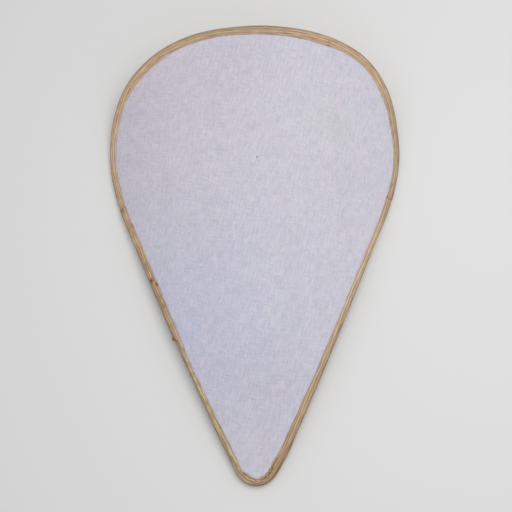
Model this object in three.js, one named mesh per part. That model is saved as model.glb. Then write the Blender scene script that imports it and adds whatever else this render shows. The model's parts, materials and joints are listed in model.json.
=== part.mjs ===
// Kite shield: a bent plywood board, a linen facing glued on its front, and a rawhide
// edging of four lapped strips folded over its edge. Millimetres, +Z up.
// The shield lies face up on both shoulders and its point, with its head towards +Y.
//
// Every piece is drawn on the flat pattern, u across, v up from the point and h through
// the thickness, and one function bends the pattern round the shield's long axis.

import * as THREE from 'three';

// Outline of the edging's outer fold, on the flat pattern
const LENGTH = 1050;
const HALF_WIDTH = 370;
const WIDEST_AT = 775;
const HEAD_PULL = 301;
const SHOULDER_PULL_UP = 151;
const SHOULDER_PULL_DOWN = 97;
const SIDE_TOP = 537;
const SIDE_PULL = 34;
const SIDE_ANGLE = THREE.MathUtils.degToRad(25.25);
const TIP_RADIUS = 54.5;

// Where the edge was cut in from that even outline, or left out past it where negative: a length
// of edge from the middle of the head (negative on the left), how far, and over what run
const EDGE_CUTS = [
  [-490, -2.2, 75], [-275, 3.3, 70], [290, -2, 60], [490, 2.9, 75], [1354, 4.3, 36],
];

// Bend across the board, measured at mid-thickness
const BEND_RADIUS = 610;

// Layers, with a hair of clearance between neighbours
const BOARD_THICK = 9;
const LINEN_THICK = 1;
const RAWHIDE_THICK = 2.2;
const CLEARANCE = 0.3;
const LINEN_INSET = 1;

// Edging: each strip's front lip as it was cut, in pairs of a length of edge from the middle of
// the head and the lip's width there. Two narrow to a notch at the point.
const HEAD_LIP = [
  [-700, 16], [-540, 17.5], [-330, 23], [-215, 20.8], [-80, 16.5],
  [165, 22], [300, 20], [390, 21.3], [600, 13],
];
const RIGHT_LIP = [
  [640, 14], [950, 12.8], [1170, 14.8], [1301, 17], [1326, 18.6],
  [1345, 18.8], [1379, 17.8], [1390, 16.8], [1411.5, 13.5],
];
const LEFT_UPPER_LIP = [[-1022, 12.5], [-950, 15.5], [-820, 17], [-686, 16.2], [-670, 17.6]];
const LEFT_LOWER_LIP = [
  [-1396.5, 13.5], [-1385, 16.7], [-1372, 17.7], [-1360, 16.9], [-1348, 14.3],
  [-1297, 13.7], [-1170, 12], [-1095, 9.8], [-1032, 11.5],
];

// Edging: the lip behind, the border of the board that the facets keep apart for it, and the
// pale raised crest
const LIP_BEHIND = 14;
const EDGE_MARGIN = 40;
const CREST = 0.8;

// Edging's section: where the fold starts, in from the board's edge, and its other corners in
// shares of the lip's width, the hide's thickness and the fold's height
const FOLD_STARTS = 1;
const BEVEL_AT = 0.88;
const CREST_AT = 0.45;
const CUT_EDGE_THICK = 0.7;
const FOLD_STARTS_THICK = 0.9;
const FOLD_CORNER_THICK = 0.75;
const BACK_EDGE_THICK = 0.8;
const FOLD_CORNER = 0.25;

// Laps: where each upper strip ends, as lengths of edge from the middle of the head. Both strips
// of a lap are skived thin.
const LEFT_JOIN = 670;
const RIGHT_JOIN = 667;
const TORN_END = 1022;
const OVERLAP = 28;
const SKIVED_THICK = 1.1;
const SKIVE_RUN = 10;
const TORN_END_SLANT = 32;
const LEFT_JOIN_FLARE = 0.8;
const TORN_END_FLARE = 6;
const FLARE_RUN = 13;

// Point of the shield: the last two strips meet at a mitre past it, and the right one is gathered
// in small pleats as it turns
const MITRE_AT = 7.5;
const MITRE_GAP = 0.4;
const PLEATS = 3;
const PLEAT_PITCH = 18;
const PLEAT_DEPTH = 2.2;
const PLEATS_FROM_TIP = 14;

// Fineness of the faceted solids
const STRIPS_ACROSS = 63;
const OUTLINE_SAMPLES = 600;
const CURVE_STEP = 20;
const SIDE_STEP = 36;
const TIP_STEP = 8;
const TIP_STEPS_FROM = 36;
const SETTLING_ROUNDS = 30;

// Finishes
const PLYWOOD = { color: 0xc9a778, roughness: 0.7, metalness: 0 };
const LINEN = { color: 0xcac8d4, roughness: 0.95, metalness: 0 };
const RAWHIDE = { color: 0xb28e66, roughness: 0.6, metalness: 0 };

const EDGE_BUILD = CLEARANCE + RAWHIDE_THICK;
const BOARD_FRONT = BOARD_THICK / 2;
const BOARD_BACK = -BOARD_THICK / 2;
const LINEN_BACK = BOARD_FRONT + CLEARANCE;
const LINEN_FRONT = LINEN_BACK + LINEN_THICK;
const LAP_LIFT = SKIVED_THICK + CLEARANCE;

// The right half of the outline, from the middle of the head to the point
function makeHalfOutline() {
  const apex = new THREE.Vector2(0, LENGTH);
  const widest = new THREE.Vector2(HALF_WIDTH, WIDEST_AT);
  const along = new THREE.Vector2(Math.sin(SIDE_ANGLE), Math.cos(SIDE_ANGLE));
  const out = new THREE.Vector2(along.y, -along.x);
  const sideFoot = new THREE.Vector2(0, TIP_RADIUS).addScaledVector(out, TIP_RADIUS);
  const sideHead = sideFoot.clone().addScaledVector(along, (SIDE_TOP - sideFoot.y) / along.y);

  const head = new THREE.CubicBezierCurve(
    apex,
    new THREE.Vector2(HEAD_PULL, LENGTH),
    new THREE.Vector2(HALF_WIDTH, WIDEST_AT + SHOULDER_PULL_UP),
    widest,
  );
  const shoulder = new THREE.CubicBezierCurve(
    widest,
    new THREE.Vector2(HALF_WIDTH, WIDEST_AT - SHOULDER_PULL_DOWN),
    sideHead.clone().addScaledVector(along, SIDE_PULL),
    sideHead,
  );
  const side = new THREE.LineCurve(sideHead, sideFoot);
  const tip = new THREE.EllipseCurve(
    0, TIP_RADIUS, TIP_RADIUS, TIP_RADIUS, -SIDE_ANGLE, -Math.PI / 2, true,
  );

  const path = new THREE.CurvePath();
  for (const curve of [head, shoulder, side, tip]) {
    curve.arcLengthDivisions = OUTLINE_SAMPLES;
    path.add(curve);
  }
  return path;
}

const outline = makeHalfOutline();
const HALF_EDGE = outline.getLength();
const [HEAD_ENDS, SHOULDER_ENDS, SIDE_ENDS] = outline.getCurveLengths();

// Length of edge between two places, by the shorter way round
function between(from, to) {
  return THREE.MathUtils.euclideanModulo(to - from + HALF_EDGE, 2 * HALF_EDGE) - HALF_EDGE;
}

// Point on the outline and its outward normal, at a length of edge from the middle of the
// head: negative lengths run down the left side, and lengths past the point come up it
function edgeAt(length) {
  const run = between(0, length);
  const share = Math.min(Math.abs(run) / HALF_EDGE, 1);
  const side = run < 0 ? -1 : 1;
  const even = outline.getPoint(share);
  const tangent = outline.getTangent(share);
  const normal = new THREE.Vector2(side * -tangent.y, tangent.x);

  const point = new THREE.Vector2(side * even.x, even.y);
  for (const [at, depth, over] of EDGE_CUTS) {
    point.addScaledVector(normal, -depth * Math.exp(-((between(at, length) / over) ** 2)));
  }
  return { point, normal };
}

// Bends a point of the flat pattern round the shield's long axis
function bend(u, v, h) {
  const angle = u / BEND_RADIUS;
  const radius = BEND_RADIUS + h;
  return new THREE.Vector3(radius * Math.sin(angle), v, radius * Math.cos(angle) - BEND_RADIUS);
}

function blend(from, to, share) {
  return THREE.MathUtils.lerp(from, to, THREE.MathUtils.smoothstep(share, 0, 1));
}

// Closed solid through rings of points. In a ring the first half of the points runs along
// one skin and the second half comes back along the other, so the ends close in pairs.
function skinThrough(rings) {
  const count = rings[0].length;
  const last = rings.length - 1;
  const index = [];
  const quad = (a, b, c, d) => index.push(a, b, c, a, c, d);

  for (let ring = 0; ring < last; ring += 1) {
    for (let step = 0; step < count; step += 1) {
      const next = (step + 1) % count;
      const here = ring * count;
      const there = here + count;
      quad(here + step, there + step, there + next, here + next);
    }
  }
  for (let step = 0; step < count / 2 - 1; step += 1) {
    const across = count - 1 - step;
    const end = last * count;
    quad(step, step + 1, across - 1, across);
    quad(end + step, end + across, end + across - 1, end + step + 1);
  }

  const geometry = new THREE.BufferGeometry().setFromPoints(rings.flat());
  geometry.setIndex(index);
  geometry.computeVertexNormals();
  return geometry;
}

// Height of the inset outline where it crosses a line up the pattern, on one branch of it
function heightAt(branch, u) {
  for (let step = 1; step < branch.length; step += 1) {
    const [from, to] = [branch[step - 1], branch[step]];
    if ((from.x - u) * (to.x - u) <= 0) {
      return THREE.MathUtils.mapLinear(u, from.x, to.x, from.y, to.y);
    }
  }
  return branch[branch.length - 1].y;
}

// One side of the inset outline, left as -1 or right as 1, turned to the right: its branches
// above and below its widest place, and its reach
function insetSide(inset, side) {
  const edge = [];
  for (let sample = 0; sample <= OUTLINE_SAMPLES; sample += 1) {
    const { point, normal } = edgeAt((side * HALF_EDGE * sample) / OUTLINE_SAMPLES);
    point.addScaledVector(normal, -inset);
    edge.push(new THREE.Vector2(side * point.x, point.y));
  }
  const widest = edge.reduce((best, point, at) => (point.x > edge[best].x ? at : best), 0);
  return {
    upper: edge.slice(0, widest + 1),
    lower: edge.slice(widest),
    reach: edge[widest].x - CLEARANCE,
  };
}

// A layer of the shield: lengthwise flat facets, as bent plywood and the cloth on it
function makeLayer(inset, back, front) {
  const left = insetSide(inset, -1);
  const right = insetSide(inset, 1);

  const rings = [];
  for (let strip = 0; strip <= STRIPS_ACROSS; strip += 1) {
    const share = Math.sin(Math.PI * (strip / STRIPS_ACROSS - 0.5));
    const side = share < 0 ? left : right;
    const u = share * side.reach;
    const top = heightAt(side.upper, Math.abs(u));
    const foot = heightAt(side.lower, Math.abs(u));
    const margin = Math.min(EDGE_MARGIN, (top - foot) / 3);
    const levels = [foot, foot + margin, top - margin, top];
    rings.push([
      ...levels.map((v) => bend(u, v, front)),
      ...levels.reverse().map((v) => bend(u, v, back)),
    ]);
  }
  return skinThrough(rings);
}

// Width of a strip's front lip at a length of edge
function lipWidth(widths, length) {
  const after = widths.findIndex(([at]) => at > length);
  if (after < 1) {
    return after < 0 ? widths.at(-1)[1] : widths[0][1];
  }
  const [from, widthFrom] = widths[after - 1];
  const [to, widthTo] = widths[after];
  return THREE.MathUtils.mapLinear(length, from, to, widthFrom, widthTo);
}

// How far the pleats near the point draw the lip of the right strip in
function pleatDraw(length) {
  const turns = (HALF_EDGE - PLEATS_FROM_TIP - length) / PLEAT_PITCH;
  const gathered = turns > 0 && turns < PLEATS;
  return gathered ? (PLEAT_DEPTH / 2) * (1 - Math.cos(2 * Math.PI * turns)) : 0;
}

// One ring of the edging: a U section folded over the board's edge. The outer skin runs from
// the front lip round the fold to the back lip, and the inner skin comes back. Where a lap is
// slanted its front is longer than its side, at the fold.
function edgingRing(strip, length) {
  const ends = [
    { ...strip.start, outward: -1, away: length - strip.start.at },
    { ...strip.end, outward: 1, away: strip.end.at - length },
  ];
  let thick = RAWHIDE_THICK;
  let sideThick = RAWHIDE_THICK;
  let crest = CREST;
  let lift = 0;
  let sideLift = 0;
  let flare = 0;
  let slide = 0;
  for (const end of ends) {
    const pastSide = (end.away - OVERLAP) / SKIVE_RUN;
    const pastLap = pastSide - end.slant / SKIVE_RUN;
    if (end.kind !== 'mitre') {
      thick = Math.min(thick, blend(SKIVED_THICK, RAWHIDE_THICK, pastLap));
      sideThick = Math.min(sideThick, blend(SKIVED_THICK, RAWHIDE_THICK, pastSide));
    }
    if (end.kind === 'under') {
      crest = Math.min(crest, blend(0, CREST, pastLap));
    }
    if (end.kind === 'over') {
      lift = Math.max(lift, blend(LAP_LIFT, 0, pastLap));
      sideLift = Math.max(sideLift, blend(LAP_LIFT, 0, pastSide));
      flare += blend(0, end.flare, 1 - end.away / FLARE_RUN);
      slide += end.outward * blend(end.slant, 0, end.away / (OVERLAP + end.slant));
    }
  }

  const lip = lipWidth(strip.lip, length) - (strip.pleated ? pleatDraw(length) : 0);
  const fold = CLEARANCE + sideLift;
  const front = LINEN_FRONT + CLEARANCE + lift;
  const back = BOARD_BACK - CLEARANCE - lift;
  const corner = FOLD_CORNER * (front - back);

  // Pairs of outer and inner points, each an offset out from the board's edge and a height
  const pairs = [
    [[-lip, front + CUT_EDGE_THICK * thick], [-lip, front]],
    [[-BEVEL_AT * lip, front + thick], [-BEVEL_AT * lip, front]],
    [[-CREST_AT * lip, front + thick + crest], [-CREST_AT * lip, front]],
    [[-FOLD_STARTS, front + FOLD_STARTS_THICK * thick], [-FOLD_STARTS, front]],
    [[fold + FOLD_CORNER_THICK * sideThick + flare, front], [fold + flare, front]],
    [[fold + sideThick + flare, front - corner], [fold + flare, front - corner]],
    [[fold + sideThick, back + corner], [fold, back + corner]],
    [[fold + FOLD_CORNER_THICK * sideThick, back], [fold, back]],
    [[-FOLD_STARTS, back - FOLD_STARTS_THICK * thick], [-FOLD_STARTS, back]],
    [[-LIP_BEHIND, back - BACK_EDGE_THICK * thick], [-LIP_BEHIND, back]],
  ];

  const place = ([offset, height]) => {
    const inFront = height >= LINEN_FRONT ? THREE.MathUtils.clamp(-offset / lip, 0, 1) : 0;
    const { point, normal } = edgeAt(length + slide * inFront);
    const spot = point.addScaledVector(normal, offset - EDGE_BUILD);
    return bend(spot.x, spot.y, height);
  };
  const outer = pairs.map((pair) => place(pair[0]));
  const inner = pairs.map((pair) => place(pair[1]));
  return [...outer, ...inner.reverse()];
}

// Spacing of the edging's rings: close round the point, open on the straight sides
function ringStep(run) {
  if (run > SIDE_ENDS - TIP_STEPS_FROM) {
    return TIP_STEP;
  }
  return run > SHOULDER_ENDS ? SIDE_STEP : CURVE_STEP;
}

// Lengths of edge at which a strip has a ring
function ringLengths(strip) {
  const from = strip.start.at;
  const to = strip.end.at;
  const marks = new Set([from, to]);
  const add = (length) => {
    if (length > from && length < to) {
      marks.add(length);
    }
  };
  for (const [end, inward] of [[strip.start, 1], [strip.end, -1]]) {
    const laps = [OVERLAP, OVERLAP + end.slant];
    const skives = laps.map((lap) => lap + SKIVE_RUN);
    for (const away of [FLARE_RUN / 4, FLARE_RUN / 2, FLARE_RUN, ...laps, ...skives]) {
      add(end.at + inward * away);
    }
  }
  for (const run of [HEAD_ENDS, SHOULDER_ENDS, SIDE_ENDS]) {
    add(run);
    add(-run);
  }
  strip.lip.forEach(([length]) => add(length));
  if (strip.pleated) {
    for (let quarter = 0; quarter <= 4 * PLEATS; quarter += 1) {
      add(HALF_EDGE - PLEATS_FROM_TIP - (quarter * PLEAT_PITCH) / 4);
    }
  }

  const lengths = [];
  const sorted = [...marks].sort((a, b) => a - b);
  sorted.slice(1).forEach((upTo, at) => {
    const span = upTo - sorted[at];
    const middle = Math.abs(upTo + sorted[at]) / 2;
    const steps = Math.ceil(span / ringStep(middle));
    for (let step = 0; step < steps; step += 1) {
      lengths.push(sorted[at] + (span * step) / steps);
    }
  });
  return [...lengths, to];
}

function makeEdging(strip) {
  return skinThrough(ringLengths(strip).map((length) => edgingRing(strip, length)));
}

function stripEnd(at, kind, slant = 0, flare = 0) {
  return { at, kind, slant, flare };
}

const edgingStrips = {
  rim_head: {
    lip: HEAD_LIP,
    start: stripEnd(-LEFT_JOIN - OVERLAP, 'under'),
    end: stripEnd(RIGHT_JOIN, 'over'),
  },
  rim_right: {
    lip: RIGHT_LIP,
    start: stripEnd(RIGHT_JOIN - OVERLAP, 'under'),
    end: stripEnd(HALF_EDGE + MITRE_AT - MITRE_GAP / 2, 'mitre'),
    pleated: true,
  },
  rim_left_upper: {
    lip: LEFT_UPPER_LIP,
    start: stripEnd(-TORN_END, 'over', TORN_END_SLANT, TORN_END_FLARE),
    end: stripEnd(-LEFT_JOIN, 'over', 0, LEFT_JOIN_FLARE),
  },
  rim_left_lower: {
    lip: LEFT_LOWER_LIP,
    start: stripEnd(-HALF_EDGE + MITRE_AT + MITRE_GAP / 2, 'mitre'),
    end: stripEnd(-TORN_END + OVERLAP, 'under', TORN_END_SLANT),
  },
};

function piece(name, geometry, finish) {
  const mesh = new THREE.Mesh(geometry, new THREE.MeshStandardMaterial(finish));
  mesh.name = name;
  return mesh;
}

function makeShield() {
  const shield = new THREE.Group();
  const board = makeLayer(EDGE_BUILD, BOARD_BACK, BOARD_FRONT);
  const linen = makeLayer(EDGE_BUILD + LINEN_INSET, LINEN_BACK, LINEN_FRONT);
  shield.add(piece('shield_board', board, PLYWOOD));
  shield.add(piece('linen_facing', linen, LINEN));
  for (const [name, strip] of Object.entries(edgingStrips)) {
    shield.add(piece(name, makeEdging(strip), RAWHIDE));
  }
  return shield;
}

// Tilt and roll at which the point and both shoulders touch the floor
function restingTurn(shield) {
  const corners = [];
  shield.traverse((node) => {
    const positions = node.geometry?.getAttribute('position');
    for (let at = 0; at < (positions?.count ?? 0); at += 1) {
      corners.push(new THREE.Vector3().fromBufferAttribute(positions, at));
    }
  });
  const point = corners.filter((corner) => corner.y < TIP_RADIUS);
  const left = corners.filter((corner) => corner.y > SIDE_TOP && corner.x < 0);
  const right = corners.filter((corner) => corner.y > SIDE_TOP && corner.x > 0);

  let tilt = 0;
  let roll = 0;
  for (let round = 0; round < SETTLING_ROUNDS; round += 1) {
    const up = new THREE.Vector3(
      -Math.sin(roll) * Math.cos(tilt),
      Math.sin(tilt),
      Math.cos(roll) * Math.cos(tilt),
    );
    const [atPoint, atLeft, atRight] = [point, left, right].map((points) =>
      Math.min(...points.map((corner) => corner.dot(up))));
    tilt += (atPoint - (atLeft + atRight) / 2) / WIDEST_AT;
    roll += (atRight - atLeft) / (2 * HALF_WIDTH);
  }
  return [tilt, roll];
}

// Lays the shield down with the middle of its box's underside at the origin
function layDown(shield) {
  const [tilt, roll] = restingTurn(shield);
  shield.rotation.set(tilt, roll, 0);
  const box = new THREE.Box3().setFromObject(shield, true);
  const middle = box.getCenter(new THREE.Vector3());
  shield.position.set(-middle.x, -middle.y, -box.min.z);
  return new THREE.Group().add(shield);
}

export default layDown(makeShield());
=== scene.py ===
"""Kite shield lying face up: the finished surfaces of its board, linen facing and rawhide edging.

Pieces are drawn on the flat pattern in millimetres, u across, v up from the point and h through the
thickness, bent round the shield's long axis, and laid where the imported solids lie.
"""

import json
import math

import bpy
import numpy as np
from mathutils import Matrix, Vector


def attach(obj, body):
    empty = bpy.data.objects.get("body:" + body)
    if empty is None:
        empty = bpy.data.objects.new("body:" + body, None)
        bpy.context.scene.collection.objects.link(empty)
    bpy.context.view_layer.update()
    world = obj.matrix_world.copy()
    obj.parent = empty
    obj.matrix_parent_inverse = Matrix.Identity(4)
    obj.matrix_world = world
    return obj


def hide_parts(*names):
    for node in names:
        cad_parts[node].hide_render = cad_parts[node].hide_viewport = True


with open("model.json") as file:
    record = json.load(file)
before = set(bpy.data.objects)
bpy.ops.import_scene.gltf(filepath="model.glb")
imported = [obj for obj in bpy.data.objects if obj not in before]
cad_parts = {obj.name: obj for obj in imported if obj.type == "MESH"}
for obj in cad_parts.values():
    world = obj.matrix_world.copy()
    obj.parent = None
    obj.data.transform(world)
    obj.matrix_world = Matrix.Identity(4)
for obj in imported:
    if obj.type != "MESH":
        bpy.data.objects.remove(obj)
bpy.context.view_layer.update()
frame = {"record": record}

MM = 0.001

# Outline of the edging's outer fold, on the flat pattern
LENGTH = 1050.0
HALF_WIDTH = 370.0
WIDEST_AT = 775.0
HEAD_PULL = 301.0
SHOULDER_PULL_UP = 151.0
SHOULDER_PULL_DOWN = 97.0
SIDE_TOP = 537.0
SIDE_PULL = 34.0
SIDE_ANGLE = math.radians(25.25)
TIP_RADIUS = 54.5
BEND_RADIUS = 610.0

# Where the edge was cut in from that even outline, or left out past it where negative: a length of
# edge from the middle of the head (negative on the left), how far, and over what run
EDGE_CUTS = [
    (-490, -2.2, 75), (-275, 3.3, 70), (290, -2.0, 60), (490, 2.9, 75), (1354, 4.3, 36),
]

# Layers
BOARD_THICK = 9.0
LINEN_THICK = 1.0
RAWHIDE_THICK = 2.2
CLEARANCE = 0.3
LINEN_INSET = 1.0
EDGE_BUILD = CLEARANCE + RAWHIDE_THICK
BOARD_FRONT = BOARD_THICK / 2
BOARD_BACK = -BOARD_THICK / 2
LINEN_BACK = BOARD_FRONT + CLEARANCE
LINEN_FRONT = LINEN_BACK + LINEN_THICK

# Where the strap face lies up the board's back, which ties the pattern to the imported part
STRAP_FACE_UP = 690.0
STRAP_FACE_HEIGHT = -4.568

# Weave of the linen: how far its warp leans, its threads, its slubs, and the waves in its face
WEAVE_TURN = math.radians(16.5)
THREAD = 0.8
SLUB_LONG = 40.0
SLUB_WIDE = 5.5
SLUB_HEIGHT = 0.07
SLUB_WAVES = 40
SLUBS_IN_WARP = 0.6
FACE_WAVE = 70.0
FACE_WAVE_HEIGHT = 0.08
MOST_UNEVEN = 0.22
WARP_SEED = 5
WEFT_SEED = 6
FACE_SEED = 3

# Patches of the linen that are off colour, and darker patches of painted shade low on the shield and
# at the head: the place on the pattern, and the size
LINEN_PATCHES = {
    "pink": [(-230, 960, 190)],
    "straw": [(190, 820, 110)],
    "blue": [(-150, 330, 210)],
    "painted_shade": [(10, 215, 110), (-30, 965, 85)],
}

# A dark speck in the linen, and the pale fleck beside it
SPECK_AT = (13.0, 734.0)
FLECK_AT = (25.5, 733.6)
SPECK_SIZE = 3.0

# Each strip's front lip: lengths of edge from the middle of the head, and the lip's width there
HEAD_LIP = [
    (-700, 16.0), (-540, 17.5), (-330, 23.0), (-215, 20.8), (-80, 16.5),
    (165, 22.0), (300, 20.0), (390, 21.3), (600, 13.0),
]
RIGHT_LIP = [
    (640, 14.0), (690, 13.2), (725, 12.0), (780, 10.9), (820, 11.6), (850, 13.0), (950, 12.8),
    (1170, 14.8), (1301, 17.0), (1326, 18.6), (1345, 18.8), (1379, 17.8), (1390, 16.8), (1411.5, 13.5),
]
LEFT_UPPER_LIP = [(-1022, 12.5), (-950, 15.5), (-820, 17.0), (-686, 16.2), (-670, 17.6)]
LEFT_LOWER_LIP = [
    (-1396.5, 13.5), (-1385, 16.7), (-1372, 17.7), (-1360, 16.9), (-1348, 14.3),
    (-1297, 13.7), (-1170, 12.0), (-1095, 9.8), (-1032, 11.5),
]

# How far the lips' cut edge wanders from that, and over what length
LIP_WANDER = [(0.35, 60), (0.22, 14)]

# Section of the edging: its lips thin towards their cut edges, and the fold is rounded off
LIP_TAPER = 0.65
LIP_TAPER_RUN = 1.8
LIP_ROUND = 1.5
LIP_BEHIND = 14.0
BACK_THICK = 0.9
BACK_TAPER = 0.3
BACK_TAPER_POWER = 6
FOLD_SQUARE = 0.6
FOLD_WANDER = 0.3
FOLD_WANDER_OVER = 90
FOLD_SEED = 5

# Height above the floor at which the hide is pressed flat where the shield rests
REST_HEIGHT = 0.05

# Laps of the edging, both strips of which are skived thin
LEFT_JOIN = 670.0
RIGHT_JOIN = 667.0
TORN_END = 1022.0
OVERLAP = 28.0
SKIVED_THICK = 1.1
SKIVE_RUN = 10.0
LAP_LIFT = SKIVED_THICK + CLEARANCE
# Run over which an upper strip's end is darkened with painted shade, where it steps down
LAP_CUT_RUN = 1.4

# Ends of the left upper strip: the slant of the torn one, and how far each flares out past the edge. A
# flare is rounded off at its very end, and round the fold it falls from all of it in front, through
# so much of it at the middle, to none behind
TORN_END_SLANT = 32.0
LEFT_JOIN_FLARE = 0.8
TORN_END_FLARE = 6.0
FLARE_RUN = 13.0
FLARE_ROUND = 0.4
FLARE_ROUND_RUN = 2.5
FLARE_SLOPE = 1.5
FLARE_AT_MIDDLE = 0.2

# Point: the mitre past it, and the pleats that the right strip is gathered in, whose valleys are
# darkened with painted shade
MITRE_AT = 7.5
MITRE_GAP = 0.4
PLEATS = 3
PLEAT_PITCH = 18.0
PLEAT_DEPTH = 2.2
PLEATS_FROM_TIP = 14.0
VALLEY_AT = 0.2
VALLEY_WIDE = 0.45
VALLEY_DEPTH = 0.9
VALLEY_SHADE_POWER = 3

# Creases in the lips at the point, sunk and darkened with painted shade: from and to, each a distance
# round from the point (negative on the left) and a share of the lip from its cut edge
CREASES = [
    ((-96.0, 0.52), (-80.0, 0.47)),
    ((-80.0, 0.47), (-55.0, 0.24)),
    ((-55.0, 0.24), (-44.0, 0.36)),
    ((-26.0, 0.30), (-12.0, 0.65)),
    ((-24.0, 0.14), (-9.0, 0.08)),
    ((4.0, 0.62), (17.0, 0.45)),
    ((17.0, 0.45), (30.0, 0.52)),
]
CREASE_WIDE = 1.3
CREASE_DEPTH = 0.9

# Crests along a lip: share of the lip from its cut edge, how far that wanders and over what length,
# width, height and paleness, how it comes and goes (share shown, swing, over what length), and the
# seeds of its wandering and of its coming and going. A crest's paleness is a painted highlight
MAIN_CREST = {
    "at": 0.42, "wander": (0.08, 130), "wide": 1.2, "high": 0.70, "pale": 1.0,
    "shows": (1.0, 0.0, 130), "seeds": (2, 2),
}
SIDE_CREST = {
    "at": 0.73, "wander": (0.08, 110), "wide": 1.0, "high": 0.35, "pale": 0.6,
    "shows": (0.5, 1.0, 40), "seeds": (3, 6),
}
INNER_CREST = {
    "at": 0.16, "wander": (0.04, 90), "wide": 0.9, "high": 0.25, "pale": 0.7,
    "shows": (0.0, 1.0, 36), "seeds": (8, 9),
}
CUT_EDGE_PALE = 0.4

# Grooves on both sides of the main crest, sunk and darkened with painted shade: how far out from it,
# and how strong
GROOVES = [(2.8, 0.7), (-2.6, 0.8)]
GROOVES_SHOW = (0.7, 0.5, 50)
GROOVE_SEED = 7
GROOVE_WIDE = 1.0
GROOVE_DEPTH = 0.3
GROOVE_SHADE = 0.75

# Fibres along a lip
FIBRE_LONG = 60.0
FIBRE_WIDE = 2.2
FIBRE_HEIGHT = 0.10
FIBRE_WAVES = 24
FIBRE_SEED = 4

# Stains and other dark marks in the edging: length of edge, share of the lip from its cut edge, size
# along and across, and strength. A share past 1 lies on the fold, and is counted no further than
# MARK_REACH
STAINS = [
    (-871.0, 0.66, 5.6, 0.30, 1.00),
    (-885.5, 0.14, 4.8, 0.20, 1.00),
    (195.0, 0.02, 4.5, 0.12, 0.75),
    (657.0, 1.04, 9.0, 0.18, 0.90),
    (666.0, 0.02, 3.5, 0.16, 0.75),
    (-676.0, 0.62, 6.0, 0.30, 0.60),
    (-684.0, 1.05, 9.0, 0.22, 0.50),
    (-1018.0, 1.15, 8.0, 0.25, 0.75),
    (-1016.0, 0.72, 5.0, 0.20, 0.75),
    (-1396.0, 0.03, 3.0, 0.10, 0.75),
    (1411.0, 0.03, 3.0, 0.10, 0.75),
]
MARK_REACH = 1.4

# Flushed places, given the same way
FLUSHES = [
    (-872.0, 0.30, 7.0, 0.22, 0.80),
    (-871.0, 0.64, 9.0, 0.40, 0.90),
    (655.0, 0.62, 9.0, 0.26, 1.00),
    (684.0, 0.35, 13.0, 0.30, 0.60),
    (-668.0, 0.55, 4.0, 0.15, 0.60),
    (-1006.0, 0.50, 9.0, 0.30, 0.50),
]

# Painted highlights, given the same way
PAINTED_HIGHLIGHTS = [
    (-655.0, 0.42, 12.0, 0.09, 1.0),
    (656.0, 0.55, 9.0, 0.10, 1.0),
    (-1372.0, 0.05, 16.0, 0.05, 1.0),
    (1401.0, 0.44, 4.0, 0.10, 1.0),
]

# A dark dot on the head's lip: length of edge, and how far in from the fold
RAWHIDE_DOT_AT = (194.5, -11.7)
RAWHIDE_DOT_SIZE = 2.4

# The hide along the edge: lengths from the middle of the head, how pale it is there, as a share of its
# colour, and how warm, from -1 to 1
HIDE = [
    (-1404, 0.79, -0.2), (-1310, 0.90, -0.2), (-1080, 0.86, -0.2), (-930, 0.85, 0.1),
    (-780, 1.00, 0.3), (-520, 1.18, -0.4), (-350, 1.17, 0.0), (-200, 1.03, 0.1), (40, 0.88, -0.1),
    (160, 1.03, 0.0), (350, 1.04, 0.1), (480, 0.91, -0.2), (620, 0.94, -0.6), (680, 0.96, -0.2),
    (760, 1.03, -0.2), (840, 1.03, -0.2), (900, 1.00, -0.3), (1070, 0.86, -0.1), (1170, 0.90, 0.1),
    (1350, 0.65, 1.0), (1412, 0.72, 0.6),
]

# Fineness of the meshes. The spread is the share of a layer's columns that is even across, and the
# shade's columns are those of the front lip over which its outer side darkens, partly with painted shade
OUTLINE_SAMPLES = 1500
BOARD_COLUMNS = 91
BOARD_ROWS = 60
LINEN_COLUMNS = 241
LINEN_ROWS = 330
LINEN_SKIP = 12
EVEN_SPREAD = 0.6
RIM_STEP = 2.4
FRONT_COLUMNS = 28
FOLD_COLUMNS = 18
BACK_COLUMNS = 10
SHADE_COLUMNS = 4
RIPPLE_WAVES = 14
SHARP_ANGLE = math.radians(48)

# How far the pattern of a strip's back is moved off that of its front, so that they differ
BACK_PATTERN_SHIFT = 40.0

# Photograph: the camera's place against the shield's own frame, and its lens
CAMERA_DISTANCE = 1900.0
CAMERA_TURN = math.radians(-3.23)
CAMERA_LEAN = math.radians(-8.0)
CAMERA_ROLL = math.radians(1.22)
CAMERA_AIM = (6.1, -18.5)
FOCAL_PIXELS = 840.3
FRAME_PIXELS = 512.0
SENSOR = 36.0

# Studio, in metres and watts
CAMERA_CLIP = 50.0
FLOOR_SIZE = 12.0
KEY_PLACE = (0.61, 0.22, 2.2)
KEY_AIM = (0.0, 0.0, 0.05)
KEY_SIZE = 2.0
KEY_POWER = 24.8
SKY_COLOUR = (1, 1, 1, 1)
SKY_STRENGTH = 0.55


# Shapes of chance and blends

def ripple(along, across, along_size, across_size, seed, waves=RIPPLE_WAVES):
    """Smooth unevenness about zero, with patches of about the given sizes, the same each run."""
    chance = np.random.default_rng(seed)
    total = np.zeros(np.broadcast(along, across).shape)
    for _ in range(waves):
        turns = chance.normal(size=2)
        phase = chance.uniform(0, 2 * math.pi)
        waved = turns[0] * along / along_size + turns[1] * across / across_size
        total += np.cos(math.pi * waved + phase)
    return total * math.sqrt(2 / waves)


def wander(length, over, seed):
    """Smooth unevenness about zero along the edge."""
    return ripple(length, 0, over, 1, seed)


def comes_and_goes(length, shown, swing, over, seed):
    """How strongly a line shows along the edge, from 0 to 1."""
    return np.clip(shown + swing * wander(length, over, seed), 0, 1)


def bump(distance, size):
    return np.exp(-((distance / size) ** 2))


def blend(start, end, share):
    share = np.clip(share, 0, 1)
    return start + (end - start) * share * share * (3 - 2 * share)


# Outline

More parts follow.
